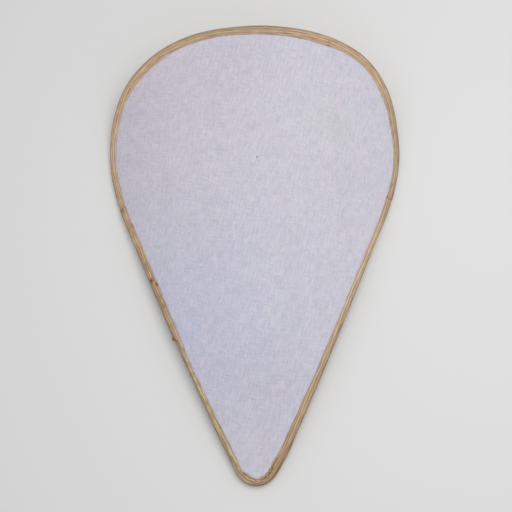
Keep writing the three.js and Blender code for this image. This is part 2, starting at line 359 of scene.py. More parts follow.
def bezier(a, b, c, d):
    t = np.linspace(0, 1, OUTLINE_SAMPLES)[:, None]
    return (1 - t) ** 3 * a + 3 * (1 - t) ** 2 * t * b + 3 * (1 - t) * t ** 2 * c + t ** 3 * d


def half_outline():
    """Points down the right half of the outline, and the lengths at which its head and side end."""
    along = np.array([math.sin(SIDE_ANGLE), math.cos(SIDE_ANGLE)])
    out = np.array([along[1], -along[0]])
    widest = np.array([HALF_WIDTH, WIDEST_AT])
    side_foot = np.array([0, TIP_RADIUS]) + TIP_RADIUS * out
    side_head = side_foot + along * (SIDE_TOP - side_foot[1]) / along[1]
    head = bezier(
        np.array([0, LENGTH]),
        np.array([HEAD_PULL, LENGTH]),
        widest + [0, SHOULDER_PULL_UP],
        widest,
    )
    shoulder = bezier(
        widest,
        widest - [0, SHOULDER_PULL_DOWN],
        side_head + along * SIDE_PULL,
        side_head,
    )
    side = side_head + (side_foot - side_head) * np.linspace(0, 1, OUTLINE_SAMPLES)[:, None]
    turn = np.linspace(-SIDE_ANGLE, -math.pi / 2, OUTLINE_SAMPLES)
    tip = np.stack([TIP_RADIUS * np.cos(turn), TIP_RADIUS * (1 + np.sin(turn))], axis=1)

    points = np.concatenate([head, shoulder[1:], side[1:], tip[1:]])
    steps = np.hypot(*np.diff(points, axis=0).T)
    lengths = np.concatenate([[0], np.cumsum(steps)])
    head_ends = lengths[OUTLINE_SAMPLES - 1]
    side_ends = lengths[-OUTLINE_SAMPLES]
    return points, lengths, head_ends, side_ends


OUTLINE, OUTLINE_LENGTHS, HEAD_ENDS, SIDE_ENDS = half_outline()
OUTLINE_TANGENTS = np.gradient(OUTLINE, OUTLINE_LENGTHS, axis=0)
HALF_EDGE = OUTLINE_LENGTHS[-1]


def apart(start, end):
    """Length of edge between two places, by the shorter way round."""
    return (end - start + HALF_EDGE) % (2 * HALF_EDGE) - HALF_EDGE


def low_share(length):
    """How far down the shield a length of edge is, from 0 at the shoulders to 1 at the point."""
    return blend(0, 1, (np.abs(length) - HEAD_ENDS) / (SIDE_ENDS - HEAD_ENDS))


def edge_at(length):
    """Point on the outline and outward normal, at lengths of edge from the middle of the head.

    Negative lengths run down the left side, and lengths past the point come up it.
    """
    run = np.abs(apart(0, length))
    side = np.where(apart(0, length) < 0, -1.0, 1.0)
    u, v = (np.interp(run, OUTLINE_LENGTHS, OUTLINE[:, axis]) for axis in (0, 1))
    du, dv = (np.interp(run, OUTLINE_LENGTHS, OUTLINE_TANGENTS[:, axis]) for axis in (0, 1))
    size = np.hypot(du, dv)
    out_u = -side * dv / size
    out_v = du / size
    cut = sum(depth * bump(apart(at, length), over) for at, depth, over in EDGE_CUTS)
    return (side * u - cut * out_u, v - cut * out_v), (out_u, out_v)


# Bending and laying down

def shield_frame():
    """Where the flat pattern's own axes lie, in millimetres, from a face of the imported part."""
    face = next(mount for mount in frame["record"]["mounts"] if mount["name"] == "strap_face")
    tilt = math.atan2(face["axis"][1], -face["axis"][2])
    roll = -math.asin(face["axis"][0])
    turned = Matrix.Rotation(tilt, 4, "X") @ Matrix.Rotation(roll, 4, "Y")
    on_pattern = turned @ Vector((0, STRAP_FACE_UP, STRAP_FACE_HEIGHT))
    return Matrix.Translation(Vector(face["pos_m"]) / MM - on_pattern) @ turned


SHIELD_FRAME = shield_frame()


def lay(u, v, h):
    """Points of the flat pattern, bent and laid down, in metres."""
    angle = u / BEND_RADIUS
    bent = np.stack(
        [
            (BEND_RADIUS + h) * np.sin(angle),
            v + np.zeros_like(angle),
            (BEND_RADIUS + h) * np.cos(angle) - BEND_RADIUS,
            np.ones_like(angle),
        ],
        axis=-1,
    )
    return (bent @ np.array(SHIELD_FRAME).T)[..., :3] * MM


# Meshes

def add_piece(name, points, faces, pattern, traits):
    """A mesh piece with its pattern coordinates and named traits, riding on the part's one body."""
    mesh = bpy.data.meshes.new(name)
    mesh.from_pydata(points.reshape(-1, 3), [], faces)
    corners = np.zeros(len(mesh.loops), dtype=np.int32)
    mesh.loops.foreach_get("vertex_index", corners)
    layer = mesh.uv_layers.new(name="pattern")
    layer.data.foreach_set("uv", (pattern.reshape(-1, 2)[corners] * MM).ravel())
    for trait, values in traits.items():
        attribute = mesh.attributes.new(trait, "FLOAT", "POINT")
        attribute.data.foreach_set("value", values.astype(np.float32).ravel())
    mesh.shade_smooth()
    mesh.set_sharp_from_angle(angle=SHARP_ANGLE)
    piece = bpy.data.objects.new(name, mesh)
    bpy.context.scene.collection.objects.link(piece)
    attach(piece, "root")
    return piece


def grid_faces(rows, columns, first=0, wrap=False):
    """Faces of a grid of points counted row by row."""
    faces = []
    for row in range(rows - 1):
        for column in range(columns if wrap else columns - 1):
            beside = (column + 1) % columns
            here = first + row * columns
            above = here + columns
            faces.append((here + column, here + beside, above + beside, above + column))
    return faces


# Board and linen

def layer_pattern(inset, columns, rows):
    """Pattern points of a whole layer, in columns up the shield, closer towards its sides."""
    even = np.linspace(-1, 1, columns)
    spread = np.abs(EVEN_SPREAD * even + (1 - EVEN_SPREAD) * np.sin(even * math.pi / 2))
    across, foot, top = np.zeros((3, columns))
    for side in (-1, 1):
        (u, v), (out_u, out_v) = edge_at(side * OUTLINE_LENGTHS)
        u = side * (u - inset * out_u)
        v = v - inset * out_v
        widest = int(np.argmax(u))
        here = even * side >= 0
        reach = spread[here] * (u[widest] - CLEARANCE)
        across[here] = side * reach
        top[here] = np.interp(reach, u[: widest + 1], v[: widest + 1])
        foot[here] = np.interp(reach, u[widest:][::-1], v[widest:][::-1])
    share = np.linspace(0, 1, rows)[:, None]
    return np.broadcast_to(across, (rows, columns)), foot + (top - foot) * share


def add_layer(name, u, v, back, front, skip, traits):
    """A closed layer with an uneven front. Behind, only one column in so many is kept."""
    rows, columns = u.shape
    kept = np.arange(0, columns, skip)
    count = rows * columns
    behind = count + np.arange(rows * len(kept)).reshape(rows, len(kept))
    before = np.arange(count).reshape(rows, columns)

    faces = grid_faces(rows, columns)
    faces += [face[::-1] for face in grid_faces(rows, len(kept), first=count)]
    for row in range(rows - 1):
        faces.append((before[row, 0], before[row + 1, 0], behind[row + 1, 0], behind[row, 0]))
        faces.append((before[row + 1, -1], before[row, -1], behind[row, -1], behind[row + 1, -1]))
    for span in range(len(kept) - 1):
        run = range(kept[span], kept[span + 1] + 1)
        foot = [before[0, column] for column in run][::-1]
        top = [before[-1, column] for column in run]
        faces.append((*foot, behind[0, span], behind[0, span + 1]))
        faces.append((*top, behind[-1, span + 1], behind[-1, span]))

    points = np.concatenate([
        lay(u, v, front).reshape(-1, 3),
        lay(u[:, kept], v[:, kept], back).reshape(-1, 3),
    ])
    pattern = np.stack([u, v], axis=-1)
    pattern = np.concatenate([pattern.reshape(-1, 2), pattern[:, kept].reshape(-1, 2)])
    both = {
        trait: np.concatenate([values.ravel(), values[:, kept].ravel()])
        for trait, values in traits.items()
    }
    return add_piece(name, points, faces, pattern, both)


def add_linen():
    """The linen facing, with its slubs and unevenness in the mesh."""
    u, v = layer_pattern(EDGE_BUILD + LINEN_INSET, columns=LINEN_COLUMNS, rows=LINEN_ROWS)
    across = u * math.cos(WEAVE_TURN) - v * math.sin(WEAVE_TURN)
    along = u * math.sin(WEAVE_TURN) + v * math.cos(WEAVE_TURN)
    warp = ripple(along, across, SLUB_LONG, SLUB_WIDE, WARP_SEED, SLUB_WAVES)
    weft = ripple(across, along, SLUB_LONG, SLUB_WIDE, WEFT_SEED, SLUB_WAVES)
    slub = SLUBS_IN_WARP * warp + (1 - SLUBS_IN_WARP) * weft
    uneven = SLUB_HEIGHT * slub + FACE_WAVE_HEIGHT * ripple(u, v, FACE_WAVE, FACE_WAVE, FACE_SEED)
    traits = {"slub": slub}
    # Off-colour patches of the linen, and its patches of painted shade
    for name, patches in LINEN_PATCHES.items():
        traits[name] = sum(bump(np.hypot(u - at_u, v - at_v), size) for at_u, at_v, size in patches)
    front = LINEN_FRONT + np.clip(uneven, -MOST_UNEVEN, MOST_UNEVEN)
    linen = add_layer("linen_cloth", u, v, LINEN_BACK, front, LINEN_SKIP, traits)

    return linen


def add_board():
    u, v = layer_pattern(EDGE_BUILD, columns=BOARD_COLUMNS, rows=BOARD_ROWS)
    return add_layer("board", u, v, BOARD_BACK, BOARD_FRONT, skip=1, traits={})


# Edging

def strip_end(at, kind, slant=0.0, flare=0.0):
    return {"at": at, "kind": kind, "slant": slant, "flare": flare}


# Strips of the edging, each with how steadily its crests show and with its two ends
STRIPS = {
    "edging_head": {
        "node": "rim_head",
        "steady": 0.5,
        "lip": HEAD_LIP,
        "start": strip_end(-LEFT_JOIN - OVERLAP, "under"),
        "end": strip_end(RIGHT_JOIN, "over"),
    },
    "edging_right": {
        "node": "rim_right",
        "steady": 0.8,
        "lip": RIGHT_LIP,
        "start": strip_end(RIGHT_JOIN - OVERLAP, "under"),
        "end": strip_end(HALF_EDGE + MITRE_AT - MITRE_GAP / 2, "mitre"),
    },
    "edging_left_upper": {
        "node": "rim_left_upper",
        "steady": 0.0,
        "lip": LEFT_UPPER_LIP,
        "start": strip_end(-TORN_END, "over", TORN_END_SLANT, TORN_END_FLARE),
        "end": strip_end(-LEFT_JOIN, "over", 0.0, LEFT_JOIN_FLARE),
    },
    "edging_left_lower": {
        "node": "rim_left_lower",
        "steady": 0.1,
        "lip": LEFT_LOWER_LIP,
        "start": strip_end(-HALF_EDGE + MITRE_AT + MITRE_GAP / 2, "mitre"),
        "end": strip_end(-TORN_END + OVERLAP, "under", TORN_END_SLANT),
    },
}


def pleat_share(length):
    """How far into the valley between two pleats a length of the right strip is, from 0 to 1."""
    turns = (HALF_EDGE - PLEATS_FROM_TIP - length) / PLEAT_PITCH
    gathered = (turns > 0) & (turns < PLEATS)
    return np.where(gathered, 0.5 - 0.5 * np.cos(2 * math.pi * turns), 0)


def crease_share(length, inward, lip):
    """How deep in a crease a point of a lip is, from 0 to 1."""
    place = apart(length, HALF_EDGE)
    deepest = np.zeros(np.broadcast(length, inward).shape)
    for (start, start_share), (end, end_share) in CREASES:
        share = np.clip((place - start) / (end - start), 0, 1)
        middle = (start_share + (end_share - start_share) * share) * lip
        beyond = place - start - (end - start) * share
        deepest = np.maximum(deepest, bump(np.hypot(inward - middle, beyond), CREASE_WIDE))
    return deepest


def crest_share(crest, length, inward, profile):
    """How near a point of a lip is to a crest, from 0 to 1, and how far in the crest runs."""
    far, over = crest["wander"]
    wander_seed, show_seed = (profile["seed"] + step for step in crest["seeds"])
    run = profile["lip"] * (crest["at"] + far * wander(length, over, wander_seed))
    return bump(inward - run, crest["wide"]) * comes_and_goes(length, *crest["shows"], show_seed), run


def strip_profile(strip, length):
    """Sizes of a strip's section at lengths of edge.

    Where a lap is slanted its front is longer than its side, at the fold.
    """
    seed = sum(map(ord, strip["node"]))
    thick = np.full_like(length, RAWHIDE_THICK)
    side_thick = np.full_like(length, RAWHIDE_THICK)
    relief = np.ones_like(length)
    lift, side_lift, flare, slide, cut = np.zeros((5, *length.shape))
    for end, outward in ((strip["start"], -1), (strip["end"], 1)):
        away = outward * (end["at"] - length)
        past_side = (away - OVERLAP) / SKIVE_RUN
        past_lap = past_side - end["slant"] / SKIVE_RUN
        if end["kind"] != "mitre":
            thick = np.minimum(thick, blend(SKIVED_THICK, RAWHIDE_THICK, past_lap))
            side_thick = np.minimum(side_thick, blend(SKIVED_THICK, RAWHIDE_THICK, past_side))
        if end["kind"] == "under":
            relief = np.minimum(relief, blend(0, 1, past_lap))
        if end["kind"] == "over":
            lift = np.maximum(lift, blend(LAP_LIFT, 0, past_lap))
            side_lift = np.maximum(side_lift, blend(LAP_LIFT, 0, past_side))
            rounded = 1 - FLARE_ROUND * bump(away, FLARE_ROUND_RUN)
            flare = flare + end["flare"] * rounded * blend(0, 1, 1 - away / FLARE_RUN)
            slide = slide + outward * blend(end["slant"], 0, away / (OVERLAP + end["slant"]))
            # Painted shade along this end, where the strip steps down
            cut = np.maximum(cut, bump(away, LAP_CUT_RUN))
    lip = np.interp(length, *np.transpose(strip["lip"]))
    for step, (far, over) in enumerate(LIP_WANDER):
        lip = lip + far * wander(length, over, seed + step)
    if strip["node"] == "rim_right":
        lip = lip - PLEAT_DEPTH * pleat_share(length)
    return {
        "seed": seed, "thick": thick, "side_thick": side_thick, "relief": relief, "lift": lift,
        "side_lift": side_lift, "flare": flare, "slide": slide, "cut": cut, "lip": lip,
    }


def front_relief(strip, profile, length, inward):
    """Height of the lip's crests, grooves and fibres; a point's paleness, from the hide's pale cut edge
    and a painted highlight near a crest; and its painted shade near a groove, crease or pleat valley.
    """
    seed = profile["seed"]
    lip = profile["lip"]
    main, main_run = crest_share(MAIN_CREST, length, inward, profile)
    side, _ = crest_share(SIDE_CREST, length, inward, profile)
    inner, _ = crest_share(INNER_CREST, length, inward, profile)
    inner = inner * low_share(length)
    groove = sum(strength * bump(inward - main_run - out, GROOVE_WIDE) for out, strength in GROOVES)
    groove = groove * comes_and_goes(length, *GROOVES_SHOW, seed + GROOVE_SEED)
    fibres = ripple(length, inward, FIBRE_LONG, FIBRE_WIDE, seed + FIBRE_SEED, FIBRE_WAVES)
    creases = crease_share(length, inward, lip)

    height = FIBRE_HEIGHT * fibres - GROOVE_DEPTH * groove - CREASE_DEPTH * creases
    # Paleness: the hide's pale cut edge, and the painted highlight along the crests
    pale = CUT_EDGE_PALE * np.exp(-inward / LIP_TAPER_RUN)
    for crest, share in ((MAIN_CREST, main), (SIDE_CREST, side), (INNER_CREST, inner)):
        height = height + crest["high"] * share
        pale = pale + crest["pale"] * share
    if strip["node"] == "rim_right":
        valley = pleat_share(length) * bump(inward - VALLEY_AT * lip, VALLEY_WIDE * lip)
        height = height - VALLEY_DEPTH * valley
        creases = np.maximum(creases, valley ** VALLEY_SHADE_POWER)
    # Painted shade in the grooves, creases and pleat valleys
    shade = GROOVE_SHADE * groove + creases
    return profile["relief"] * height, np.clip(pale, 0, 1), np.clip(shade, 0, 1)


def cap_faces(first):
    """Faces over a strip's end, each between a run of its outer skin and one of its inner skin."""
    fold_ends = FRONT_COLUMNS + FOLD_COLUMNS
    last = fold_ends + BACK_COLUMNS - 1
    third = FOLD_COLUMNS // 3
    marks = [0, FRONT_COLUMNS - 1, FRONT_COLUMNS + third, fold_ends - third, fold_ends, last]
    faces = []
    for span in range(len(marks) - 1):
        outer = [first + column for column in range(marks[span], marks[span + 1] + 1)]
        inner = last + len(marks) - span
        faces.append((*outer, first + inner - 1, first + inner))
    return faces


def strip_traits(strip, profile, length, offset, height, crest, groove):
    """What the rawhide's material needs to know at each point of a strip."""
    traits = {trait: np.zeros_like(offset) for trait in ("crest", "groove", "stain", "flush", "outside")}
    traits["crest"][:, :FRONT_COLUMNS] = crest
    traits["groove"][:, :FRONT_COLUMNS] = groove
    across = np.clip(1 + offset / profile["lip"], 0, MARK_REACH)
    # The painted highlights join the crests' painted highlight; stains and flushes are the hide's own
    for trait, marks in (("stain", STAINS), ("flush", FLUSHES), ("crest", PAINTED_HIGHLIGHTS)):
        for at, place, size_along, size_across, strength in marks:
            mark = strength * bump(length - at, size_along) * bump(across - place, size_across)
            traits[trait] = np.maximum(traits[trait], np.where(height > 0, mark, 0))

    # The lip's outer side and the fold darken: partly the hide's darker outer band, partly painted shade
    # where the edging turns from the light
    shade_starts = FRONT_COLUMNS - SHADE_COLUMNS
    traits["outside"][:, shade_starts:FRONT_COLUMNS] = np.linspace(0, 1, SHADE_COLUMNS + 2)[1:-1]
    traits["outside"][:, FRONT_COLUMNS:] = 1

    at, paleness, warmth = np.transpose(HIDE)
    along = {
        "edge": profile["cut"],
        "lower": low_share(length),
        "steady": strip["steady"],
        "tone": np.interp(length, at, paleness),
        "warm": np.interp(length, at, warmth),
    }
    for trait, values in along.items():
        traits[trait] = np.broadcast_to(values, offset.shape)
    return traits


def add_edging(name, strip):
    """A strip of the edging, in rings round its section from one end to the other."""
    count = int(round((strip["end"]["at"] - strip["start"]["at"]) / RIM_STEP))
    length = np.linspace(strip["start"]["at"], strip["end"]["at"], count + 1)[:, None]
    profile = strip_profile(strip, length)
    lip = profile["lip"]
    thick = profile["thick"]
    fold = CLEARANCE + profile["side_lift"]
    front = LINEN_FRONT + CLEARANCE + profile["lift"]
    back = BOARD_BACK - CLEARANCE - profile["lift"]

    # Front lip, from its cut edge to the start of the fold
    inward = np.linspace(0, 1, FRONT_COLUMNS)[None, :] * (lip - LIP_ROUND)
    # Besides the relief: paleness from the pale cut edge and the crests' painted highlight, and painted
    # shade in grooves, creases and pleat valleys
    relief, crest, groove = front_relief(strip, profile, length, inward)
    front_offset = inward - lip
    front_height = front + thick * (1 - LIP_TAPER * np.exp(-inward / LIP_TAPER_RUN)) + relief

    # Fold round the edge of the board
    turn = np.linspace(math.pi / 2, -math.pi / 2, FOLD_COLUMNS + 2)[None, 1:-1]
    reach = fold + profile["side_thick"] + LIP_ROUND
    tall = (front - back) / 2 + thick * np.where(turn > 0, 1.0, BACK_THICK)
    wobble = FOLD_WANDER * wander(length, FOLD_WANDER_OVER, profile["seed"] + FOLD_SEED)
    flared = np.clip(FLARE_SLOPE * np.sin(turn) + FLARE_AT_MIDDLE, 0, 1)
    fold_offset = reach * np.cos(turn) ** FOLD_SQUARE - LIP_ROUND + wobble * np.cos(turn)
    fold_offset = fold_offset + profile["flare"] * flared
    rise = np.sign(np.sin(turn)) * np.abs(np.sin(turn)) ** FOLD_SQUARE
    fold_height = (front + back) / 2 + tall * rise

    # Lip behind the board, then back along the hidden inner skin
    share = np.linspace(0, 1, BACK_COLUMNS)[None, :]
    ones = np.ones_like(length)
    back_offset = (-LIP_ROUND - share * (LIP_BEHIND - LIP_ROUND)) * ones
    back_height = back - BACK_THICK * thick * (1 - BACK_TAPER * share ** BACK_TAPER_POWER)
    inner_offset = np.concatenate([-LIP_BEHIND * ones, -ones, fold, fold, -ones, -lip], axis=1)
    inner_height = np.concatenate([back, back, back, front, front, front], axis=1)

    offset = np.concatenate([front_offset, fold_offset, back_offset, inner_offset], axis=1)
    height = np.concatenate([front_height, fold_height, back_height, inner_height], axis=1)
    in_front = np.where(height >= LINEN_FRONT, np.clip(-offset / lip, 0, 1), 0)
    (u, v), (out_u, out_v) = edge_at(length + profile["slide"] * in_front)
    points = lay(u + out_u * (offset - EDGE_BUILD), v + out_v * (offset - EDGE_BUILD), height)
    points[..., 2] = np.maximum(points[..., 2], REST_HEIGHT * MM)

    rings, columns = offset.shape
    faces = [face[::-1] for face in grid_faces(rings, columns, wrap=True)]
    faces += cap_faces(0)
    faces += [face[::-1] for face in cap_faces((rings - 1) * columns)]

    shift = np.where(height > 0, 0, BACK_PATTERN_SHIFT)
    pattern = np.stack([np.broadcast_to(length, offset.shape), offset + shift], axis=-1)
    traits = strip_traits(strip, profile, length, offset, height, crest, groove)
    piece = add_piece(name, points, faces, pattern, traits)
    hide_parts(strip["node"])
    return piece


# Material nodes

def new_material(name, finish):
    material = bpy.data.materials.new(name)
    material.use_nodes = True
    shader = material.node_tree.nodes["Principled BSDF"]
    for socket, value in finish.items():
        shader.inputs[socket].default_value = value
    return material, material.node_tree, shader


def add_node(tree, kind, values=None, **settings):
    """A node with its settings, and its sockets set to values or linked to other sockets."""
    made = tree.nodes.new(kind)
    for setting, value in settings.items():
        setattr(made, setting, value)
    for socket, value in (values or {}).items():
        if isinstance(value, bpy.types.NodeSocket):
            tree.links.new(value, made.inputs[socket])
        else:
            made.inputs[socket].default_value = value
    return made


def mix_colour(tree, share, first, second, blend_type="MIX"):
    factor, a, b, result = 0, 6, 7, 2
    made = add_node(
        tree, "ShaderNodeMix", {factor: share, a: first, b: second},
        data_type="RGBA", blend_type=blend_type,
    )
    return made.outputs[result]


def mix_value(tree, share, first, second):
    factor, a, b = 0, 2, 3
    return add_node(tree, "ShaderNodeMix", {factor: share, a: first, b: second}).outputs[0]


def calculate(tree, operation, first, second=0.0):
    return add_node(tree, "ShaderNodeMath", {0: first, 1: second}, operation=operation).outputs[0]


def remap(tree, value, low, high, to_low=0.0, to_high=1.0):
    values = {"Value": value, "From Min": low, "From Max": high, "To Min": to_low, "To Max": to_high}
    return add_node(tree, "ShaderNodeMapRange", values).outputs[0]


def pattern_place(tree):
    return add_node(tree, "ShaderNodeUVMap", uv_map="pattern").outputs["UV"]


def pattern_at(tree, turn, sizes):
    """Pattern coordinates, turned, and divided by the sizes that one patch has both ways."""
    place = pattern_place(tree)
    turned = add_node(tree, "ShaderNodeMapping", {"Vector": place, "Rotation": (0, 0, turn)})
    scale = (1 / (sizes[0] * MM), 1 / (sizes[1] * MM), 1)
    return add_node(tree, "ShaderNodeMapping", {"Vector": turned.outputs[0], "Scale": scale}).outputs[0]


def noise(tree, place, detail):
    values = {"Vector": place, "Scale": 1.0, "Detail": detail}
    return add_node(tree, "ShaderNodeTexNoise", values, noise_dimensions="2D").outputs["Fac"]


def noises(tree, kinds):
    """Noise on the pattern, by name, from how far each is turned, its patches' sizes and its detail."""
    return {
        name: noise(tree, pattern_at(tree, turn, sizes), detail)
        for name, (turn, sizes, detail) in kinds.items()
    }


def mesh_traits(tree, names):
    return {
        name: add_node(tree, "ShaderNodeAttribute", attribute_name=name).outputs["Fac"]
        for name in names
    }


# Share of a spot's size over which it is full
SPOT_CORE = 0.3


def spot_at(tree, place, size):
    """One round spot on the pattern, from 1 at its middle to 0 at its rim."""
    middle = (place[0] * MM, place[1] * MM, 0)
    values = {0: pattern_place(tree), 1: middle}
    away = add_node(tree, "ShaderNodeVectorMath", values, operation="DISTANCE")
    return remap(tree, away.outputs["Value"], size * MM, SPOT_CORE * size * MM)


def lay_over(tree, colour, drivers, layers):
    """A colour with others laid over it in turn.

    A layer names what drives it, that driver's value where the colour starts and where it is full, the
    colour's share when full, the colour, and any other drivers that hold it back.
    """
    for driver, start, full, share, over, *holds in layers:
        factor = remap(tree, drivers[driver], start, full, 0, share)
        for hold in holds:
            factor = calculate(tree, "MULTIPLY", factor, drivers[hold])
        colour = mix_colour(tree, factor, colour, over)
    return colour


def add_bump(tree, shader, height, depth, strength):
    values = {"Height": height, "Distance": depth * MM, "Strength": strength}
    made = add_node(tree, "ShaderNodeBump", values)
    tree.links.new(made.outputs[0], shader.inputs["Normal"])


# Linen: its colours, the noise in it, and the colours laid over one another

LINEN_COLOUR = (0.630, 0.616, 0.708, 1)
LINEN_PINK = (0.665, 0.600, 0.695, 1)
LINEN_STRAW = (0.632, 0.622, 0.655, 1)
LINEN_BLUE = (0.560, 0.578, 0.745, 1)
LINEN_DARK_AND_SHADE = (0.490, 0.480, 0.560, 1)
LINEN_PALE = (0.740, 0.725, 0.790, 1)
LINEN_SPECK = (0.230, 0.205, 0.215, 1)
LINEN_NOISE = {
    "fine_warp": (WEAVE_TURN, (2.6, 24), 3),
    "fine_weft": (WEAVE_TURN, (24, 2.6), 3),
    "cloudy": (0, (60, 60), 3),
    "tinge": (0, (32, 32), 2),
}
LINEN_LAYERS = [
    ("pink", 0.0, 1.0, 1.00, LINEN_PINK),
    ("straw", 0.0, 1.0, 1.00, LINEN_STRAW),
    ("blue", 0.0, 1.0, 1.00, LINEN_BLUE),
    # Painted shade: the linen darkened low on the shield and at the head
    ("painted_shade", 0.0, 1.0, 0.36, LINEN_DARK_AND_SHADE),
    ("tinge", 0.5, 0.3, 0.60, LINEN_PINK),
    ("tinge", 0.5, 0.7, 0.40, LINEN_STRAW),
    ("slub", 0.0, -2.0, 0.32, LINEN_DARK_AND_SHADE),
    ("slub", 0.0, 2.0, 0.32, LINEN_PALE),
    ("fine", 1.0, 0.6, 0.65, LINEN_DARK_AND_SHADE),
    ("fine", 1.0, 1.4, 0.65, LINEN_PALE),
    ("cloudy", 0.5, 0.25, 0.15, LINEN_DARK_AND_SHADE),
    ("speck", 0.0, 1.0, 1.00, LINEN_SPECK),
    ("fleck", 0.0, 1.0, 1.00, LINEN_PALE),
]
LINEN_FINISH = {
    "Roughness": 0.92, "Specular IOR Level": 0.2, "Sheen Weight": 0.15, "Sheen Roughness": 0.5,
}
WARP_SHARE = 1.12
WEAVE_IN_BUMP = 0.25
LINEN_BUMP_DEPTH = 0.4
LINEN_BUMP_STRENGTH = 0.6


def thread_wave(tree, place):
    return calculate(tree, "SINE", calculate(tree, "MULTIPLY", place, math.pi))


def linen_material():
    material, tree, shader = new_material("linen", LINEN_FINISH)
    drivers = noises(tree, LINEN_NOISE) | mesh_traits(tree, ["slub", *LINEN_PATCHES])
    warp = calculate(tree, "MULTIPLY", drivers["fine_warp"], WARP_SHARE)
    weft = calculate(tree, "MULTIPLY", drivers["fine_weft"], 2 - WARP_SHARE)
    drivers["fine"] = calculate(tree, "ADD", warp, weft)
    drivers["speck"] = spot_at(tree, SPECK_AT, SPECK_SIZE)
    drivers["fleck"] = spot_at(tree, FLECK_AT, SPECK_SIZE)
    colour = lay_over(tree, LINEN_COLOUR, drivers, LINEN_LAYERS)
    tree.links.new(colour, shader.inputs["Base Color"])

    threads = pattern_at(tree, WEAVE_TURN, (THREAD, THREAD))
    across, along, _ = add_node(tree, "ShaderNodeSeparateXYZ", {0: threads}).outputs
    weave = calculate(tree, "MULTIPLY", thread_wave(tree, across), thread_wave(tree, along))
    height = calculate(tree, "ADD", calculate(tree, "MULTIPLY", weave, WEAVE_IN_BUMP), drivers["fine"])
    add_bump(tree, shader, height, LINEN_BUMP_DEPTH, LINEN_BUMP_STRENGTH)
    return material


# Rawhide: its colours, the noise and traits in it, and the colours laid over one another

RAWHIDE_TAN = (0.468, 0.332, 0.212, 1)
RAWHIDE_OLIVE = (0.478, 0.383, 0.184, 1)
RAWHIDE_RUDDY = (0.507, 0.300, 0.206, 1)
RAWHIDE_PALE_AND_HIGHLIGHT = (0.845, 0.650, 0.452, 1)
RAWHIDE_SHADE = (0.235, 0.155, 0.078, 1)
RAWHIDE_LAP_SHADE = (0.150, 0.095, 0.055, 1)
RAWHIDE_STAIN = (0.130, 0.030, 0.016, 1)
RAWHIDE_FLUSH = (0.540, 0.245, 0.165, 1)
COOL_TINT = (0.93, 1.04, 1.14, 1)
WARM_TINT = (1.07, 0.96, 0.86, 1)
RAWHIDE_NOISE = {
    "blotch": (0, (36, 12), 2),
    "patch": (0, (11, 7), 3),
    "broken": (0, (17, 30), 2),
    "streak": (0, (34, 1.6), 4),
    "fine": (0, (9, 0.5), 3),
    "lines": (0, (55, 2.6), 1),
}
RAWHIDE_TRAITS = [
    "crest", "groove", "stain", "flush", "outside", "edge", "lower", "steady", "tone", "warm",
]
RAWHIDE_LAYERS = [
    ("blotch", 0.30, 0.55, 1.00, RAWHIDE_OLIVE, "lower"),
    ("blotch", 0.50, 0.34, 0.70, RAWHIDE_RUDDY),
    ("patch", 0.52, 0.38, 0.80, RAWHIDE_RUDDY),
    ("patch", 0.54, 0.68, 0.80, RAWHIDE_OLIVE),
    ("streak", 0.50, 0.30, 0.75, RAWHIDE_SHADE),
    ("streak", 0.54, 0.74, 0.55, RAWHIDE_PALE_AND_HIGHLIGHT),
    ("lines", 0.50, 0.34, 0.50, RAWHIDE_SHADE, "near_point"),
    ("lines", 0.50, 0.66, 0.60, RAWHIDE_PALE_AND_HIGHLIGHT, "near_point"),
    # Painted shade in the grooves beside the crests, in the creases and in the pleat valleys
    ("groove", 0.0, 1.0, 0.85, RAWHIDE_SHADE),
    # Painted highlight along the crests and at other places, with the pale cut edge of the hide
    ("crest", 0.0, 1.0, 1.00, RAWHIDE_PALE_AND_HIGHLIGHT, "shown", "shown_low"),
    # Outer side and fold: partly the hide's darker outer band, partly painted shade where it turns from
    # the light
    ("outside", 0.0, 1.0, 0.45, RAWHIDE_SHADE),
    # Painted shade along the ends of upper strips
    ("edge", 0.0, 1.0, 0.075, RAWHIDE_LAP_SHADE),
]
RAWHIDE_MARKS = [
    ("flush", 0.0, 1.0, 1.0, RAWHIDE_FLUSH, "soaked"),
    ("stain", 0.0, 1.0, 1.0, RAWHIDE_STAIN, "stain_soaked"),
    ("dot", 0.0, 1.0, 1.0, RAWHIDE_STAIN),
]

# Ranges: two values of a driver, and what it becomes at each
NEAR_POINT_RANGE = (0.75, 1.0, 0.0, 1.0)
BROKEN_RANGE = (0.36, 0.60, 0.15, 1.0)
SHOWN_LOW_RANGE = (0.0, 0.6, 0.7, 1.0)
WARMTH_RANGE = (-1.0, 1.0, 0.0, 1.0)
SOAKED_RANGE = (0.62, 0.42, 0.35, 1.0)
STAIN_SOAKED_RANGE = (0.35, 1.0, 0.85, 1.0)
RAWHIDE_ROUGH_RANGE = (0.3, 0.7, 0.66, 0.48)
SHOWN_WHERE_STEADY = 0.75
RAWHIDE_FINISH = {"Specular IOR Level": 0.35}
FINE_IN_BUMP = 0.4
RAWHIDE_BUMP_DEPTH = 0.5
RAWHIDE_BUMP_STRENGTH = 0.5


